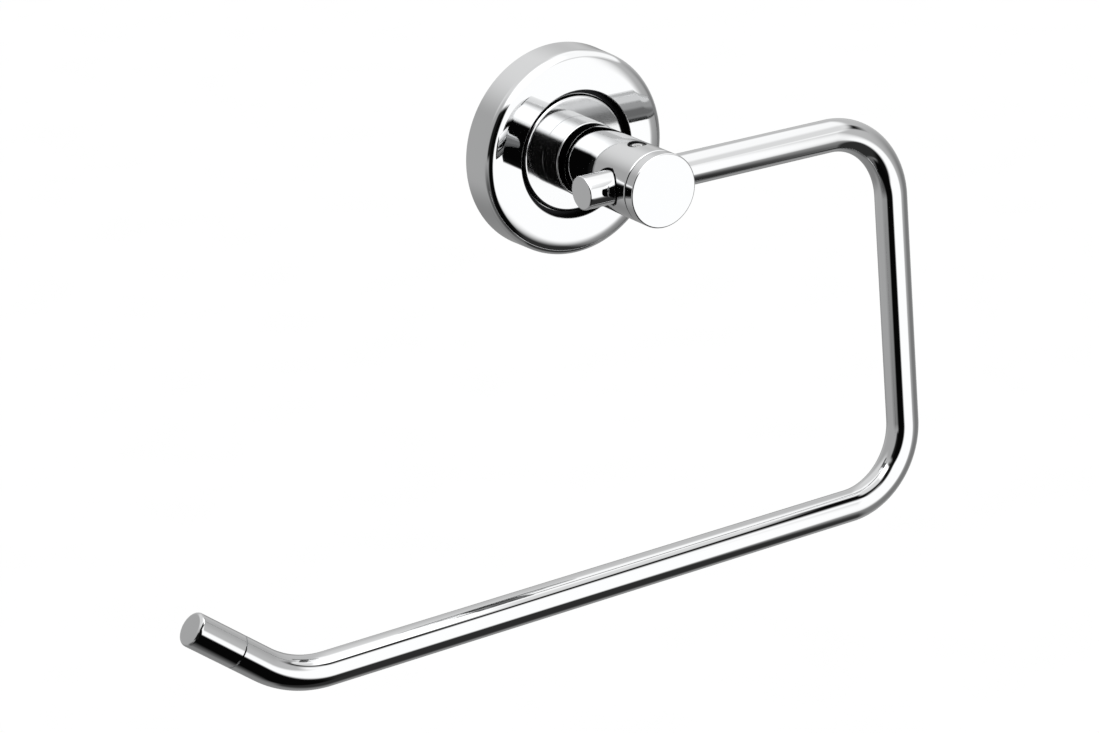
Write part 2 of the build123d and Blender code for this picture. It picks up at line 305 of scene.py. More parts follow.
# Panels of the light tent, each laid over the ones before it: the direction from the ring to the panel's
# middle (azimuth from the front to the right, elevation, roll), its four sides as angles from that middle,
# how soft they are, all in degrees, and its brightness
Panel = namedtuple("Panel", "azimuth elevation roll left right low high soft_sides soft_ends tone")
PANELS = {
    "right cloth": Panel(88, -27, -30, -37, 19, -54, 36, 17, 26, 0.195),
    "low left cloth": Panel(-78, -46, 17, -16, 23, -42, 28, 12, 16, 0.091),
    "low back cloth": Panel(173, -39, -35, -50, 44, -37, 17, 14, 12, 0.22),
    "high back cloth": Panel(-165, 41, 5, -37, 36, -11, 52, 14, 12, 0.7),
    "low right flag": Panel(59, -56, -34, -55, 22, -30, 8, 13, 3, 0.026),
    "high right white": Panel(93, 54, 13, -50, 22, -8, 18, 5, 6, 1.05),
    "left flag": Panel(-52, -4, -4, -2, 70, -57, 66, 9, 6, 0.004),
    "high flag": Panel(7, 67, -2, -43, 58, -22, 10, 7, 7, 0.008),
    "high right flag": Panel(50, 49, 20, -19, 14, -5, 2, 6, 2, 0.001),
    "left edge flag": Panel(-62, 12, 0, -14, 18, -18, 25, 6, 4, 0.01),
    "softbox": Panel(18, 2, 2, -43, 21, -30, 38, 4.5, 5, 1.06),
}

# Cards that hang close to the ring: the direction each one hangs in and its roll, in degrees, its distance
# from the origin, its four sides as distances from that direction's foot on it, how soft they are, all in
# millimetres, and its brightness
Card = namedtuple("Card", "azimuth elevation roll distance left right low high soft_sides soft_ends tone")
CARDS = {
    "left flag": Card(-37, -23, 1, 257, -62, 136, -250, 303, 30, 31, 0.002),
    "white top": Card(0, 90, 17, 57, -66, 100, -118, -9, 14, 14, 1.02),
    "dim top front": Card(0, 90, 17, 56, -16, 100, -140, -76, 17, 12, 0.74),
    "bright top left": Card(0, 90, 17, 55, -66, -5, -118, -9, 17, 14, 1.9),
}

# Mesh tools


def only(kind, items):
    """The items of one bmesh kind."""
    return [item for item in items if isinstance(item, kind)]


def turned(corners):
    """Mesh turned about the post's axis from (radius, distance out) corners, some with a rounding as well.

    The outline is closed unless it starts on the axis.
    """
    detail = settings().detail
    mesh = bmesh.new()
    points = [mesh.verts.new((corner[0], -corner[1], 0)) for corner in corners]
    for start, end in zip(points, points[1:]):
        mesh.edges.new((start, end))
    if corners[0][0] > 0:
        mesh.edges.new((points[-1], points[0]))
    for point, (_, _, *rounding) in zip(points, corners):
        if any(rounding):
            bmesh.ops.bevel(
                mesh, geom=[point], offset=rounding[0], offset_type="OFFSET", profile=0.5,
                segments=detail.rounding_steps, affect="VERTICES", material=-1, clamp_overlap=False,
            )
    bmesh.ops.spin(
        mesh, geom=mesh.verts[:] + mesh.edges[:], cent=(0, 0, 0), axis=(0, 1, 0), dvec=(0, 0, 0),
        angle=2 * pi, steps=detail.turn_steps, use_merge=True, use_duplicate=False,
    )
    bmesh.ops.remove_doubles(mesh, verts=mesh.verts[:], dist=MERGE_DISTANCE)
    bmesh.ops.recalc_face_normals(mesh, faces=mesh.faces[:])
    return mesh


def move(mesh, matrix):
    """Turn and shift a whole mesh."""
    bmesh.ops.transform(mesh, matrix=matrix, verts=mesh.verts[:])
    return mesh


def along(direction, place):
    """Matrix that lays a turned piece along a direction, with its start at a place."""
    return Matrix.Translation(place) @ OUTWARD.rotation_difference(direction).to_matrix().to_4x4()


def as_object(mesh, name):
    """Object made from a bmesh, which is freed."""
    data = bpy.data.meshes.new(name)
    mesh.to_mesh(data)
    mesh.free()
    made = bpy.data.objects.new(name, data)
    bpy.context.scene.collection.objects.link(made)
    return made


def cut(body, *tools):
    """Mesh of the body with the tools taken away; all are bmeshes, and they are freed."""
    work = as_object(body, "work")
    cutters = [as_object(tool, "cutter") for tool in tools]
    for cutter in cutters:
        taking = work.modifiers.new("Cut", "BOOLEAN")
        taking.operation = "DIFFERENCE"
        taking.solver = "EXACT"
        taking.object = cutter
    result = bmesh.new()
    result.from_object(work, bpy.context.evaluated_depsgraph_get())
    for done in (work, *cutters):
        data = done.data
        bpy.data.objects.remove(done)
        bpy.data.meshes.remove(data)
    return result


def hex_socket(across_flats, bottom, top):
    """Cutter for a hexagonal drive that opens outwards, between two distances out."""
    mesh = bmesh.new()
    bmesh.ops.create_circle(mesh, cap_ends=True, segments=6, radius=across_flats / sqrt(3))
    sides = bmesh.ops.extrude_face_region(mesh, geom=mesh.faces[:])
    raised = only(bmesh.types.BMVert, sides["geom"])
    bmesh.ops.translate(mesh, vec=(0, 0, top - bottom), verts=raised)
    bmesh.ops.recalc_face_normals(mesh, faces=mesh.faces[:])
    return move(mesh, Matrix.Translation(OUTWARD * bottom) @ Matrix.Rotation(pi / 2, 4, "X"))


def mouth_cutter(radius, rim, bar_radius, through=False):
    """Cutter along +X for a hole in the side of a round bar on the Y axis, flared where it leaves the bar.

    It starts at the bar's axis, or goes right through the bar.
    """
    reach = bar_radius + radius
    flare = radius + rim + reach - bar_radius
    start = [(0, 0), (radius, 0)]
    if through:
        start = [(0, -reach), (flare, -reach), (radius, rim - bar_radius)]
    outline = [*start, (radius, bar_radius - rim), (flare, reach), (0, reach)]
    mesh = move(turned(outline), Matrix.Rotation(pi / 2, 4, "Z"))
    for vert in mesh.verts:
        if abs(vert.co.x) > bar_radius - 2 * rim:
            sag = bar_radius - sqrt(bar_radius**2 - min(abs(vert.co.z), bar_radius) ** 2)
            vert.co.x -= sag if vert.co.x > 0 else -sag
    return mesh


def add_piece(mesh, finish, node, material):
    """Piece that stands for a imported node: smooth, with sharp edges kept and flat faces shaded flat."""
    piece = as_object(mesh, f"{finish}_{node}")
    piece.data.shade_smooth()
    piece.data.set_sharp_from_angle(angle=settings().detail.sharp_angle)
    piece.data.materials.append(material)
    weighted = piece.modifiers.new("Weighted normals", "WEIGHTED_NORMAL")
    weighted.mode = "FACE_AREA"
    weighted.weight = 100
    weighted.keep_sharp = True
    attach(piece, BODY)
    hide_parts(node)
    return piece


def add_chromed(mesh, node):
    """Piece in polished chrome."""
    return add_piece(mesh, "chromed", node, chrome_material())


def add_steel(mesh, node):
    """Piece in plain steel."""
    return add_piece(mesh, "steel", node, steel_material())


# Shader tools


def feed(tree, socket, value):
    """Link a socket to another one, or set its plain value."""
    if isinstance(value, bpy.types.NodeSocket):
        tree.links.new(value, socket)
    else:
        socket.default_value = value


def shader_node(tree, kind, inputs, **choices):
    """New shader node with its choices and inputs set."""
    made = tree.nodes.new(f"ShaderNode{kind}")
    for name, choice in choices.items():
        setattr(made, name, choice)
    for name, value in inputs.items():
        feed(tree, made.inputs[name], value)
    return made


def object_place(tree):
    """Place on the object, in metres."""
    return shader_node(tree, "TexCoord", {}).outputs["Object"]


def maths(tree, operation, *values):
    """Result of a Math node."""
    return shader_node(tree, "Math", dict(enumerate(values)), operation=operation).outputs["Value"]


def vector_maths(tree, operation, *values):
    """Result of a Vector Math node, which is a number for a length or a dot product."""
    made = shader_node(tree, "VectorMath", dict(enumerate(values)), operation=operation)
    return made.outputs["Value" if operation in ("LENGTH", "DOT_PRODUCT") else "Vector"]


def parts(tree, vector):
    """The X, Y and Z parts of a vector."""
    return shader_node(tree, "SeparateXYZ", {"Vector": vector}).outputs


def ramp(tree, value, start, end, low=0.0, high=1.0):
    """Smooth change from low at the start to high at the end."""
    made = shader_node(tree, "MapRange", {
        "Value": value, "From Min": start, "From Max": end, "To Min": low, "To Max": high,
    }, interpolation_type="SMOOTHSTEP")
    return made.outputs["Result"]


def overlap(tree, first, second):
    """1 where both masks are 1."""
    return maths(tree, "MULTIPLY", first, second)


def below(tree, value, limit, soft):
    """1 up to a limit, falling softly to 0 just past it."""
    return ramp(tree, value, limit + soft, limit)


def band(tree, value, start, end, soft):
    """1 between the start and the end, falling softly to 0 at both."""
    rise = ramp(tree, value, start - soft, start + soft)
    fall = ramp(tree, value, end - soft, end + soft, 1.0, 0.0)
    return overlap(tree, rise, fall)


def mixed(tree, factor, first, second):
    """Colour between two colours, each a socket or three plain values."""
    made = shader_node(tree, "Mix", {"Factor": factor}, data_type="RGBA")
    sockets = [socket for socket in made.inputs if socket.type == "RGBA"]
    for socket, value in zip(sockets, (first, second)):
        feed(tree, socket, value if isinstance(value, bpy.types.NodeSocket) else (*value, 1))
    return next(socket for socket in made.outputs if socket.type == "RGBA")


def shaded(colour_parts, brightness):
    """A plain colour made darker or brighter."""
    return [brightness * part for part in colour_parts]


def noise(tree, place, scale, detail):
    """Noise between 0 and 1 at a place, with its scale in waves to the metre."""
    made = shader_node(tree, "TexNoise", {"Vector": place, "Scale": scale, "Detail": detail})
    return made.outputs["Fac"]


# Finishes


def metal(name):
    """New metal material: the material, its node tree, its shader and the place on the object."""
    material = bpy.data.materials.new(name)
    material.use_nodes = True
    tree = material.node_tree
    shader = tree.nodes["Principled BSDF"]
    shader.inputs["Metallic"].default_value = 1
    return material, tree, shader, object_place(tree)


def relief(tree, shader, height, depth):
    """Bump the shader by a height between 0 and 1 that stands for a depth in metres."""
    bump = shader_node(tree, "Bump", {"Height": height, "Distance": depth, "Strength": 1.0})
    feed(tree, shader.inputs["Normal"], bump.outputs["Normal"])


def about_post(tree, place):
    """Distance of a place from the post's axis, and its distance out from the wall."""
    axes = parts(tree, place)
    across = shader_node(tree, "CombineXYZ", {"X": axes["X"], "Z": axes["Z"]})
    reach = vector_maths(tree, "LENGTH", across.outputs["Vector"])
    return reach, maths(tree, "MULTIPLY", axes["Y"], -1.0)


def from_seat(tree, place, across):
    """Distance from an axis through the ring's seat in the head, measured along the two ways across it."""
    apart = vector_maths(tree, "SUBTRACT", place, OUTWARD * ring_out())
    return vector_maths(tree, "LENGTH", vector_maths(tree, "MULTIPLY", apart, across))


def grooves(tree, place, reach, out):
    """1 where shade is painted into the chrome: round the disc, in the neck, hole and joint and at the
    bore's mouths.
    """
    finishes = settings().finishes
    post = settings().post
    disc = turned_node("step_disc")
    base = turned_node("post_base")
    head = turned_node("post_head")
    rose_front = turned_node("rose_cover").front
    collar_front = disc.front + post.collar
    joint_depth = post.cap_joint / 2
    shaded_hole = post.rod_screw_hole + post.rod_screw_rim
    shaded_bore = post.bore + post.bore_rim
    soft = finishes.groove_soft
    # Painted shade in the gap round the step disc, the neck, the set screw's hole rim, the bore's mouths
    # and the cap joint
    gap = overlap(
        tree, band(tree, reach, disc.radius + soft, settings().rose.recess + 2 * soft, soft),
        band(tree, out, disc.back - 2 * soft, rose_front - finishes.groove_rim, soft),
    )
    neck = overlap(
        tree, below(tree, reach, head.radius - finishes.neck_rim - soft, soft),
        band(tree, out, collar_front - post.collar_edge, base.front + post.head_edge, soft),
    )
    hole = overlap(
        tree, below(tree, from_seat(tree, place, ACROSS_SCREW), shaded_hole, soft),
        band(tree, parts(tree, place)["Z"], head.radius / 2, head.radius + soft, soft),
    )
    mouths = overlap(
        tree, below(tree, reach, head.radius, soft),
        band(tree, from_seat(tree, place, ACROSS_TUBE), tube_radius() + soft, shaded_bore, soft),
    )
    joint = overlap(
        tree, below(tree, reach, head.radius - joint_depth - soft, soft),
        band(tree, out, head.front - post.cap_joint, head.front + post.cap_joint, soft),
    )
    painted_shade = gap
    for groove in (neck, hole, mouths, joint):
        painted_shade = maths(tree, "MAXIMUM", painted_shade, groove)
    return painted_shade


def satin(tree, reach, out):
    """1 on the step disc and the collar, which are turned and polished less than the rest."""
    disc = turned_node("step_disc")
    soft = settings().finishes.groove_soft
    return overlap(
        tree, below(tree, reach, disc.radius, soft),
        band(tree, out, disc.back, disc.front + settings().post.collar, soft),
    )


def chrome_material():
    """Polished chrome plate, a little uneven in gloss and level, with dark, dull painted shade in the
    grooves, the neck, the hole and bore rims and the cap joint.
    """
    known = bpy.data.materials.get("polished_chrome")
    if known:
        return known
    finishes = settings().finishes
    material, tree, shader, place = metal("polished_chrome")
    reach, out = about_post(tree, place)
    painted_shade = grooves(tree, place, reach, out)
    # Near-black painted shade where the grooves function gives 1
    feed(tree, shader.inputs["Base Color"], mixed(tree, painted_shade, finishes.chrome, finishes.groove))
    patches = noise(tree, place, finishes.haze_scale, detail=4)
    rough = ramp(tree, patches, *HAZE_SPREAD, finishes.chrome_roughness, finishes.chrome_haze)
    rough = maths(tree, "MULTIPLY_ADD", painted_shade, finishes.groove_roughness, rough)
    rough = maths(tree, "MULTIPLY_ADD", satin(tree, reach, out), finishes.satin_roughness, rough)
    feed(tree, shader.inputs["Roughness"], rough)
    relief(tree, shader, noise(tree, place, finishes.wave_scale, detail=1), finishes.chrome_waves)
    return material


def steel_material():
    """Plain stainless steel with fine tool rings and darker pits, with painted shade over the top of the
    ring's set screw and a painted highlight in its socket.
    """
    known = bpy.data.materials.get("turned_steel")
    if known:
        return known
    finishes = settings().finishes
    material, tree, shader, place = metal("turned_steel")
    rings = shader_node(tree, "TexWave", {
        "Vector": place, "Scale": finishes.steel_ring_scale, "Distortion": 1.5,
        "Detail": 2.0, "Detail Scale": 1.0,
    }, wave_type="RINGS", rings_direction="SPHERICAL").outputs["Fac"]
    clean = ramp(tree, noise(tree, place, finishes.pit_scale, detail=5), *PIT_SPREAD)
    steel = mixed(tree, clean, shaded(finishes.steel, finishes.pit_shade), finishes.steel)
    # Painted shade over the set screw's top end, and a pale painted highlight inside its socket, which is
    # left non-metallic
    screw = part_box("rod_set_screw")[1]
    depth = finishes.screw_top_shade_depth
    end = band(tree, parts(tree, place)["Z"], screw.z - depth, screw.z + depth, finishes.screw_top_shade_soft)
    socket_rim = (screw.x * part for part in SOCKET_RIM)
    outside = ramp(tree, from_seat(tree, place, ACROSS_SCREW), *socket_rim)
    painted_shade_and_highlight = mixed(tree, outside, finishes.socket, finishes.screw_top_shade)
    rough = ramp(tree, clean, 0.0, 1.0, finishes.pit_roughness, finishes.steel_roughness)
    bare = maths(tree, "SUBTRACT", 1.0, end)
    feed(tree, shader.inputs["Base Color"], mixed(tree, end, steel, painted_shade_and_highlight))
    feed(tree, shader.inputs["Metallic"], maths(tree, "MAXIMUM", outside, bare))
    feed(tree, shader.inputs["Roughness"], rough)
    relief(tree, shader, rings, finishes.steel_rings)
    return material


def zinc_material():
    """Zinc plate on the hidden wall plate, with mottled grains and a soft bloom."""
    finishes = settings().finishes
    material, tree, shader, place = metal("zinc_plate")
    cells = shader_node(tree, "TexVoronoi", {"Vector": place, "Scale": finishes.grain_scale})
    grain = shader_node(tree, "SeparateColor", {"Color": cells.outputs["Color"]}).outputs["Red"]
    bloom = noise(tree, place, finishes.bloom_scale, detail=6)
    tone = maths(tree, "MULTIPLY", bloom, 1 - finishes.grain_share)
    tone = maths(tree, "MULTIPLY_ADD", grain, finishes.grain_share, tone)
    bright = ramp(tree, tone, *ZINC_SPREAD)
    rough = ramp(tree, tone, *ZINC_SPREAD, finishes.grain_roughness, finishes.zinc_roughness)
    dark = shaded(finishes.zinc, finishes.grain_shade)
    feed(tree, shader.inputs["Base Color"], mixed(tree, bright, dark, finishes.zinc))
    feed(tree, shader.inputs["Roughness"], rough)
    relief(tree, shader, bloom, finishes.zinc_bloom)
    return material


# Pieces


class TOWELRING_OT_wall_plate(bpy.types.Operator):
    """Turn the wall plate and cut its two countersunk screw holes"""

    bl_idname = "towelring.wall_plate"
    bl_label = "Wall plate"

    def execute(self, context):
        sizes = settings().rose
        plate = turned_node("wall_plate")
        groove = plate.front / 2
        edge = settings().detail.edge_break
        body = turned([
            (sizes.plate_bore, 0, edge),
            (plate.radius, 0, edge),
            (plate.radius, groove - sizes.plate_groove),
            (plate.radius - sizes.plate_groove, groove),
            (plate.radius, groove + sizes.plate_groove),
            (plate.radius, plate.front - sizes.plate_edge),
            (plate.radius - sizes.plate_edge, plate.front),
            (sizes.plate_bore, plate.front, edge),
        ])
        apart = WALL_SCREWS["dims"]["spacing_x_mm"] * MM / 2
        holes = [move(self.screw_hole(), Matrix.Translation((side * apart, 0, 0))) for side in (-1, 1)]
        add_piece(cut(body, *holes), "zinc", "wall_plate", zinc_material())
        return {"FINISHED"}

    def screw_hole(self):
        """Cutter for a countersunk hole on the post's axis."""
        hole = WALL_SCREWS["dims"]["hole_r_mm"] * MM
        sink = settings().rose.plate_sink
        front = turned_node("wall_plate").front
        return turned([
            (0, -CUT_PAST),
            (hole, -CUT_PAST),
            (hole, front - sink + hole),
            (sink + CUT_PAST, front + CUT_PAST),
            (0, front + CUT_PAST),
        ])


class TOWELRING_OT_rose_cover(bpy.types.Operator):
    """Turn the rose cover with its crowned face and recess, and drill its underside"""

    bl_idname = "towelring.rose_cover"
    bl_label = "Rose cover"

    def execute(self, context):
        sizes = settings().rose
        rose = turned_node("rose_cover")
        plate = turned_node("wall_plate")
        hole = settings().post.spigot + settings().post.spigot_gap
        seat_back = turned_node("post_washer").front
        seat_front = turned_node("step_disc").back
        inner = rose.radius - sizes.wall
        inside = rose.front - sizes.wall
        boss = sizes.recess + sizes.wall
        edge = settings().detail.edge_break
        front_radius = rose.radius - sizes.taper
        crown_reach = sizes.crown_radius * tan(sizes.crown_angle / 2)
        edge_reach = sizes.edge_radius * tan(pi / 4 - sizes.crown_angle / 2)
        crown_width = (crown_reach + edge_reach + sizes.crown_land) * cos(sizes.crown_angle)
        edge_corner = rose.front - crown_width * tan(sizes.crown_angle)
        edge_turn = pi / 2 - sizes.crown_angle - atan2(sizes.taper, edge_corner)
        body = turned([
            (hole, seat_back, edge),
            (boss, seat_back, edge),
            (boss, inside),
            (inner, inside, sizes.inner_radius),
            (inner, 0, edge),
            (rose.radius, 0, edge),
            (front_radius, edge_corner, sizes.edge_radius * tan(edge_turn / 2)),
            (front_radius - crown_width, rose.front, crown_reach),
            (sizes.recess, rose.front, sizes.recess_edge),
            (sizes.recess, seat_front),
            (hole, seat_front, edge),
        ])
        drill_end = rose.radius + sizes.wall
        drill = turned([
            (0, plate.radius),
            (sizes.screw_hole, plate.radius),
            (sizes.screw_hole, drill_end),
            (0, drill_end),
        ])
        underside = along(Vector((0, 0, -1)), OUTWARD * plate.front / 2)
        add_chromed(cut(body, move(drill, underside)), "rose_cover")
        return {"FINISHED"}


class TOWELRING_OT_step_disc(bpy.types.Operator):
    """Turn the thin disc with a rounded edge that lies in the rose's recess"""

    bl_idname = "towelring.step_disc"
    bl_label = "Step disc"

    def execute(self, context):
        disc = turned_node("step_disc")
        hole = settings().post.spigot + settings().post.spigot_gap
        edge = settings().detail.edge_break
        add_chromed(turned([
            (hole, disc.back, edge),
            (disc.radius, disc.back, edge),
            (disc.radius, disc.front, settings().rose.disc_edge),
            (hole, disc.front, edge),
        ]), "step_disc")
        return {"FINISHED"}


class TOWELRING_OT_post_base(bpy.types.Operator):
    """Turn the collar, the neck in front of it and the spigot behind it"""

    bl_idname = "towelring.post_base"
    bl_label = "Post base"

    def execute(self, context):
        sizes = settings().post
        base = turned_node("post_base")
        disc = turned_node("step_disc")
        head = turned_node("post_head")
        neck = head.radius - sizes.neck_depth
        collar_front = disc.front + sizes.collar
        add_chromed(turned([
            (sizes.screw_hole, base.back),
            (sizes.spigot, base.back),
            (sizes.spigot, disc.front),
            (base.radius - sizes.collar_foot, disc.front),
            (base.radius, disc.front + sizes.collar_foot),
            (base.radius, collar_front, sizes.collar_edge),
            (neck, collar_front),
            (neck, base.front),
            (sizes.screw_hole, base.front),
        ]), "post_base")
        return {"FINISHED"}


class TOWELRING_OT_post_head(bpy.types.Operator):
    """Turn the post's head and cut the cross bore and the set screw's hole"""

    bl_idname = "towelring.post_head"
    bl_label = "Post head"

    def execute(self, context):
        sizes = settings().post
        head = turned_node("post_head")
        cap = turned_node("head_cap")
        gap = sizes.spigot_gap
        thread_end = head.back + sizes.thread_depth
        body = turned([
            (0, thread_end),
            (sizes.thread_hole, thread_end),
            (sizes.thread_hole, head.back),
            (head.radius, head.back, sizes.head_edge),
            (head.radius, head.front, sizes.head_front),
            (sizes.cap_spigot + gap, head.front),
            (sizes.cap_spigot + gap, cap.back - gap),
            (0, cap.back - gap),
        ])
        at_ring = Matrix.Translation(OUTWARD * ring_out())
        bore = mouth_cutter(sizes.bore, sizes.bore_rim, head.radius, through=True)
        screw_hole = mouth_cutter(sizes.rod_screw_hole, sizes.rod_screw_rim, head.radius)
        upwards = Matrix.Rotation(-pi / 2, 4, "Y")
        add_chromed(cut(body, move(bore, at_ring), move(screw_hole, at_ring @ upwards)), "post_head")
        return {"FINISHED"}


class TOWELRING_OT_head_cap(bpy.types.Operator):
    """Turn the round cap on the front of the head"""

    bl_idname = "towelring.head_cap"
    bl_label = "Head cap"

    def execute(self, context):
        sizes = settings().post
        cap = turned_node("head_cap")
        joint = turned_node("post_head").front
        add_chromed(turned([
            (0, cap.back),
            (sizes.cap_spigot, cap.back),
            (sizes.cap_spigot, joint),
            (cap.radius - sizes.cap_joint, joint),
            (cap.radius, joint + sizes.cap_joint),
            (cap.radius, cap.front, sizes.cap_edge),
            (0, cap.front),
        ]), "head_cap")
        return {"FINISHED"}


def ring_out():
    """Distance from the wall to the axis of the ring's top run, on which the set screw stands."""
    low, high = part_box("rod_set_screw")
    return -(low.y + high.y) / 2


def tube_radius():
    """Outer radius of the tube, which is how far its level top run rises above the post's axis."""
    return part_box("ring_tube")[1].z


def ring_lean():
    """Drop of the ring's bottom run in the ring's own plane, and that plane's lean away from the wall."""
    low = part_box("ring_tube")[0]
    radius = tube_radius()
    down = -(low.z + radius)
    outwards = -(low.y + radius) - ring_out()
    return hypot(down, outwards), atan2(outwards, down)


def ring_place():
    """Matrix from the upright ring to the leaning one in the post."""
    return Matrix.Translation(OUTWARD * ring_out()) @ Matrix.Rotation(-ring_lean()[1], 4, "X")


def stub_start():
    """Where the tube starts, at the plug in the stub, along X."""
    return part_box("stub_plug")[0].x + settings().ring.plug


def end_tangent():
    """How far the end bend reaches along the runs on both its sides."""
    sizes = settings().ring
    return sizes.end_bend * tan(sizes.end_angle / 2)


def end_way():
    """Direction of the turned-up end, in the upright ring."""
    rise = settings().ring.end_angle
    return Vector((-cos(rise), 0, sin(rise)))


class TOWELRING_OT_ring_tube(bpy.types.Operator):
    """Bend the tube: straight runs are drawn out and each bend is spun about its own centre"""

    bl_idname = "towelring.ring_tube"
    bl_label = "Ring tube"

    def execute(self, context):
        sizes = settings().ring
        detail = settings().detail
        steps = detail.bend_steps
        drop = ring_lean()[0]
        radius = tube_radius()
        bend_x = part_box("ring_tube")[1].x - radius - sizes.bend
        end_x = end_tangent() - sizes.left
        mesh = bmesh.new()
        for circle in (radius, radius - sizes.wall):
            bmesh.ops.create_circle(mesh, segments=detail.tube_steps, radius=circle)
        front = mesh.edges[:]
        bmesh.ops.bridge_loops(mesh, edges=front)
        move(mesh, Matrix.Translation((stub_start(), 0, 0)) @ Matrix.Rotation(pi / 2, 4, "Y"))
        front = self.run(mesh, front, Vector((bend_x - stub_start(), 0, 0)))
        front = self.turn(mesh, front, (bend_x, 0, -sizes.bend), pi / 2, steps)
        front = self.run(mesh, front, Vector((0, 0, 2 * sizes.bend - drop)))
        front = self.turn(mesh, front, (bend_x, 0, sizes.bend - drop), pi / 2, steps)
        front = self.run(mesh, front, Vector((end_x - bend_x, 0, 0)))
        front = self.turn(mesh, front, (end_x, 0, sizes.end_bend - drop), sizes.end_angle, steps // 2)
        front = self.run(mesh, front, sizes.end_run * end_way())
        bmesh.ops.bridge_loops(mesh, edges=front)
        bmesh.ops.recalc_face_normals(mesh, faces=mesh.faces[:])
        add_chromed(move(mesh, ring_place()), "ring_tube")
        return {"FINISHED"}

    def run(self, mesh, front, step):
        """Draw the tube's open end straight on by a step, and give back its new edges."""
        drawn = bmesh.ops.extrude_edge_only(mesh, edges=front)["geom"]
        bmesh.ops.translate(mesh, vec=step, verts=only(bmesh.types.BMVert, drawn))
        return self.open_end(drawn)

    def turn(self, mesh, front, centre, sweep, steps):
        """Spin the tube's open end about a bend's centre, and give back its new edges."""
        spun = bmesh.ops.spin(
            mesh, geom=front, cent=centre, axis=(0, 1, 0), dvec=(0, 0, 0), angle=sweep, steps=steps,
            use_merge=False, use_duplicate=False,
        )
        return self.open_end(spun["geom_last"])

    def open_end(self, drawn):
        """The edges at the open end of a stretch that was just drawn."""
        return [edge for edge in only(bmesh.types.BMEdge, drawn) if len(edge.link_faces) == 1]


class TOWELRING_OT_tube_plugs(bpy.types.Operator):
    """Turn the plug in the stub and the cap on the turned-up end"""

    bl_idname = "towelring.tube_plugs"
    bl_label = "Tube plugs"

    def execute(self, context):
        sizes = settings().ring
        corner = Vector((-sizes.left, 0, -ring_lean()[0]))
        end = corner + (end_tangent() + sizes.end_run) * end_way()
        start = Vector((stub_start(), 0, 0))
        plug = move(self.plug(sizes.plug, sizes.plug_edge, 0), along(Vector((-1, 0, 0)), start))
        cap = move(self.plug(sizes.cap, sizes.cap_edge, sizes.cap_seam), along(end_way(), end))
        add_chromed(move(plug, ring_place()), "stub_plug")
        add_chromed(move(cap, ring_place()), "end_cap")
        return {"FINISHED"}

    def plug(self, reach, edge, seam):
        """Plug of the tube's own diameter with a spigot behind it; a seam of no size merges away."""
        sizes = settings().ring
        radius = tube_radius()
        spigot = radius - sizes.wall - sizes.spigot_gap
        return turned([
            (0, -sizes.spigot),
            (spigot, -sizes.spigot),
            (spigot, 0),
            (radius - seam, 0),
            (radius, seam + MERGE_DISTANCE),
            (radius, reach, edge),
            (0, reach),
        ])


class TOWELRING_OT_set_screws(bpy.types.Operator):
    """Make the headless screws that clamp the ring and hold the rose"""

    bl_idname = "towelring.set_screws"
    bl_label = "Set screws"

    def execute(self, context):
        sizes = settings().screws
        screws = (("rod_set_screw", sizes.rod_point, 1), ("rose_set_screw", sizes.rose_point, -1))
        for node, point, direction in screws:
            low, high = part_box(node)
            start = Vector((0, (low.y + high.y) / 2, low.z if direction > 0 else high.z))
            screw = self.set_screw(high.x, high.z - low.z, point)
            add_steel(move(screw, along(Vector((0, 0, direction)), start)), node)
        return {"FINISHED"}

    def set_screw(self, radius, reach, point):
        """Headless screw with a flat point and a hexagonal socket of half its diameter."""
        body = turned([
            (0, 0),
            (point, 0),
            (radius, radius - point),
            (radius, reach - settings().screws.edge),
            (radius - settings().screws.edge, reach),
            (0, reach),
        ])
        return cut(body, hex_socket(radius, reach / 2, reach + CUT_PAST))


class TOWELRING_OT_post_fasteners(bpy.types.Operator):
    """Make the socket-head screw that holds the post and the washer under it"""

    bl_idname = "towelring.post_fasteners"
    bl_label = "Post fasteners"

    def execute(self, context):
        sizes = settings().screws
        screw = turned_node("post_screw")
        washer = turned_node("post_washer")
        edge = settings().detail.edge_break
        head_front = screw.back + sizes.post_head
        body = turned([
            (0, screw.back),
            (screw.radius - sizes.edge, screw.back),
            (screw.radius, screw.back + sizes.edge),
            (screw.radius, head_front, edge),
            (sizes.post_shank, head_front),
            (sizes.post_shank, screw.front - sizes.edge),
            (sizes.post_shank - sizes.edge, screw.front),
            (0, screw.front),
        ])
        socket = hex_socket(sizes.post_shank, screw.back - CUT_PAST, screw.back + sizes.post_head / 2)
        add_steel(cut(body, socket), "post_screw")
        hole = settings().post.screw_hole
        add_steel(turned([
            (hole, washer.back, edge),
            (washer.radius, washer.back, edge),
            (washer.radius, washer.front, edge),
            (hole, washer.front, edge),
        ]), "post_washer")
        return {"FINISHED"}


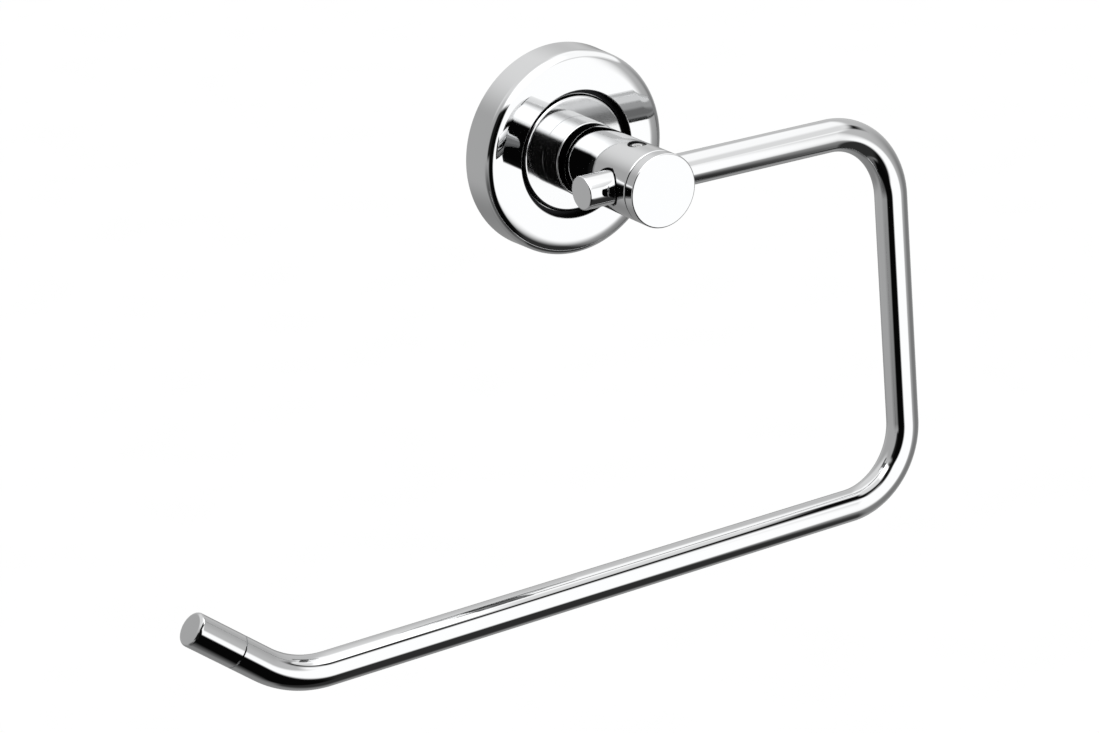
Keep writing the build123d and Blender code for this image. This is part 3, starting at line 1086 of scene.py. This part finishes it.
class TOWELRING_OT_stage(bpy.types.Operator):
    """Set the floor, the studio light and the camera"""

    bl_idname = "towelring.stage"
    bl_label = "Stage"

    def execute(self, context):
        self.light(context.scene)
        self.tent()
        for card in CARDS.values():
            self.card(card)
        self.floor()
        self.camera(context.scene)
        return {"FINISHED"}

    def light(self, scene):
        """Plain white studio all round."""
        scene.view_settings.view_transform = "Standard"
        scene.world = bpy.data.worlds.new("studio")
        scene.world.use_nodes = True
        background = scene.world.node_tree.nodes["Background"]
        background.inputs["Color"].default_value = (1, 1, 1, 1)
        background.inputs["Strength"].default_value = 1

    def tent(self):
        """Light tent with a softbox and dark cloths."""
        mesh = bmesh.new()
        bmesh.ops.create_icosphere(mesh, subdivisions=TENT_DIVISIONS, radius=settings().stage.tent_radius)
        bmesh.ops.reverse_faces(mesh, faces=mesh.faces[:])
        self.mirrored(as_object(mesh, "light_tent"), self.tent_material())

    def card(self, card):
        """Card close to the ring, with soft edges."""
        facing, right, upwards = self.axes(card)
        sides = (card.left - card.soft_sides, card.right + card.soft_sides)
        ends = (card.low - card.soft_ends, card.high + card.soft_ends)
        mesh = bmesh.new()
        bmesh.ops.create_grid(mesh, x_segments=1, y_segments=1, size=0.5)
        stretch = Matrix.Diagonal((sides[1] - sides[0], ends[1] - ends[0], 1, 1))
        turn = Matrix((right, upwards, -facing)).transposed().to_4x4()
        middle = right * sum(sides) / 2 + upwards * sum(ends) / 2 + facing * card.distance
        move(mesh, Matrix.Scale(MM, 4) @ Matrix.Translation(middle) @ turn @ stretch)
        self.mirrored(as_object(mesh, "studio_card"), self.card_material(card, right, upwards))

    def mirrored(self, cloth, material):
        """Put a cloth on the stage, to be seen in the metal's mirror alone and not to count as a lamp."""
        material.cycles.emission_sampling = "NONE"
        cloth.data.materials.append(material)
        for rays in ("camera", "diffuse", "transmission", "volume_scatter", "shadow"):
            setattr(cloth, f"visible_{rays}", False)

    def blank(self, name):
        """New empty material, and its node tree."""
        material = bpy.data.materials.new(name)
        material.use_nodes = True
        material.node_tree.nodes.clear()
        return material, material.node_tree

    def tent_material(self):
        """Glowing cloth: grey paper at the sides, dim below, white overhead, with the panels laid on it."""
        stage = settings().stage
        material, tree = self.blank("tent_cloth")
        sight = vector_maths(tree, "NORMALIZE", object_place(tree))
        axes = parts(tree, sight)
        height = maths(tree, "DEGREES", maths(tree, "ARCSINE", axes["Z"]))
        tone = ramp(tree, axes["X"], *PAPER_CHANGE, stage.paper, stage.paper_right)
        tone = self.laid(tree, tone, ramp(tree, height, *LOW_CLOTH_SPREAD), stage.low_cloth)
        tone = self.laid(tree, tone, ramp(tree, height, *CEILING_SPREAD), stage.ceiling)
        for panel in PANELS.values():
            tone = self.laid(tree, tone, self.cover(tree, sight, panel), panel.tone)
        glow = shader_node(tree, "Emission", {"Color": tone, "Strength": stage.glow})
        shader_node(tree, "OutputMaterial", {"Surface": glow.outputs["Emission"]})
        return material

    def card_material(self, card, right, upwards):
        """Glowing or black card that fades to nothing at its edges."""
        material, tree = self.blank("studio_card")
        place = object_place(tree)
        across, above = (vector_maths(tree, "DOT_PRODUCT", place, way / MM) for way in (right, upwards))
        clear = shader_node(tree, "BsdfTransparent", {}).outputs["BSDF"]
        glow = shader_node(tree, "Emission", {"Strength": card.tone * settings().stage.glow})
        inside = self.window(tree, across, above, card)
        faded = shader_node(tree, "MixShader", {0: inside, 1: clear, 2: glow.outputs["Emission"]})
        shader_node(tree, "OutputMaterial", {"Surface": faded.outputs["Shader"]})
        return material

    def axes(self, panel):
        """Direction from the ring to a panel or card, then its own directions to the right and upwards."""
        swing = Matrix.Rotation(radians(panel.azimuth), 3, "Z")
        turn = swing @ Matrix.Rotation(-radians(panel.elevation), 3, "X")
        facing = turn @ OUTWARD
        right = turn @ Matrix.Rotation(-radians(panel.roll), 3, "Y") @ Vector((1, 0, 0))
        return facing, right, facing.cross(right)

    def laid(self, tree, under, mask, tone):
        """Tone of the tent with a cloth laid over it where the mask is 1."""
        bare = maths(tree, "MULTIPLY", under, maths(tree, "SUBTRACT", 1.0, mask))
        return maths(tree, "MULTIPLY_ADD", mask, tone, bare)

    def cover(self, tree, sight, panel):
        """1 where a panel hides the tent, seen from the ring."""
        ahead, right, up = (vector_maths(tree, "DOT_PRODUCT", sight, way) for way in self.axes(panel))
        ahead = maths(tree, "MAXIMUM", ahead, LEAST_AHEAD)
        across, above = (
            maths(tree, "DEGREES", maths(tree, "ARCTAN2", part, ahead)) for part in (right, up)
        )
        return self.window(tree, across, above, panel)

    def window(self, tree, across, above, panel):
        """1 inside the four soft sides of a panel or card."""
        return overlap(
            tree, band(tree, across, panel.left, panel.right, panel.soft_sides),
            band(tree, above, panel.low, panel.high, panel.soft_ends),
        )

    def floor(self):
        """Plain pale floor under the tent, white to the eye and in the metal, with a soft shadow."""
        stage = settings().stage
        mesh = bmesh.new()
        bmesh.ops.create_circle(mesh, cap_ends=True, segments=FLOOR_STEPS, radius=stage.floor_radius)
        move(mesh, Matrix.Translation((0, 0, -stage.tent_radius - stage.floor_drop)))
        floor = as_object(mesh, "floor")
        floor.data.materials.append(self.floor_material())

    def floor_material(self):
        """Matt pale floor, lifted to white for the camera, mirrors and glass."""
        stage = settings().stage
        material, tree = self.blank("pale_floor")
        rays = shader_node(tree, "LightPath", {}).outputs
        seen = maths(tree, "MAXIMUM", rays["Is Camera Ray"], rays["Is Glossy Ray"])
        seen = maths(tree, "MAXIMUM", seen, rays["Is Transmission Ray"])
        specks = noise(tree, object_place(tree), stage.speck_scale, detail=2)
        speck = ramp(tree, specks, *SPECK_SPREAD)
        pale = mixed(tree, speck, stage.floor, shaded(stage.floor, stage.speck_lift))
        matt = shader_node(tree, "BsdfDiffuse", {"Color": pale})
        lift = maths(tree, "MULTIPLY", seen, 1 - stage.floor[0])
        glow = shader_node(tree, "Emission", {"Color": (1, 1, 1, 1), "Strength": lift})
        lifted = shader_node(tree, "AddShader", {0: matt.outputs["BSDF"], 1: glow.outputs["Emission"]})
        shader_node(tree, "OutputMaterial", {"Surface": lifted.outputs["Shader"]})
        return material

    def camera(self, scene):
        """Camera at the photograph's viewing angle."""
        stage = settings().stage
        data = bpy.data.cameras.new("camera")
        data.sensor_fit = "HORIZONTAL"
        data.lens = stage.lens
        camera = bpy.data.objects.new("camera", data)
        sight = (Vector(stage.aim) - Vector(stage.camera)).to_track_quat("-Z", "Y")
        turn = sight.to_matrix().to_4x4() @ Matrix.Rotation(-stage.roll, 4, "Z")
        camera.matrix_world = Matrix.Translation(stage.camera) @ turn
        scene.collection.objects.link(camera)
        scene.camera = camera


class TOWELRING_PT_panel(bpy.types.Panel):
    """Towel ring pieces and settings"""

    bl_idname = "TOWELRING_PT_panel"
    bl_label = "Towel ring"
    bl_space_type = "VIEW_3D"
    bl_region_type = "UI"
    bl_category = "Towel ring"

    def draw(self, context):
        for operator in OPERATORS:
            self.layout.operator(operator.bl_idname)
        for group in TowelRing.__annotations__:
            box = self.layout.box()
            box.label(text=group.capitalize())
            part = getattr(settings(), group)
            for name in part.__annotations__:
                box.prop(part, name)


PROPERTY_GROUPS = (RoseSizes, PostSizes, RingSizes, ScrewSizes, MeshDetail, Finishes, Stage, TowelRing)
OPERATORS = (
    TOWELRING_OT_wall_plate,
    TOWELRING_OT_rose_cover,
    TOWELRING_OT_step_disc,
    TOWELRING_OT_post_base,
    TOWELRING_OT_post_head,
    TOWELRING_OT_head_cap,
    TOWELRING_OT_ring_tube,
    TOWELRING_OT_tube_plugs,
    TOWELRING_OT_set_screws,
    TOWELRING_OT_post_fasteners,
    TOWELRING_OT_stage,
)
CLASSES = (*PROPERTY_GROUPS, *OPERATORS, TOWELRING_PT_panel)


def register():
    for item in CLASSES:
        bpy.utils.register_class(item)
    bpy.types.Scene.towel_ring = PointerProperty(type=TowelRing)


def unregister():
    del bpy.types.Scene.towel_ring
    for item in reversed(CLASSES):
        bpy.utils.unregister_class(item)


def main():
    register()
    bpy.ops.towelring.wall_plate()
    bpy.ops.towelring.rose_cover()
    bpy.ops.towelring.step_disc()
    bpy.ops.towelring.post_base()
    bpy.ops.towelring.post_head()
    bpy.ops.towelring.head_cap()
    bpy.ops.towelring.ring_tube()
    bpy.ops.towelring.tube_plugs()
    bpy.ops.towelring.set_screws()
    bpy.ops.towelring.post_fasteners()
    bpy.ops.towelring.stage()


if __name__ == "__main__":
    main()
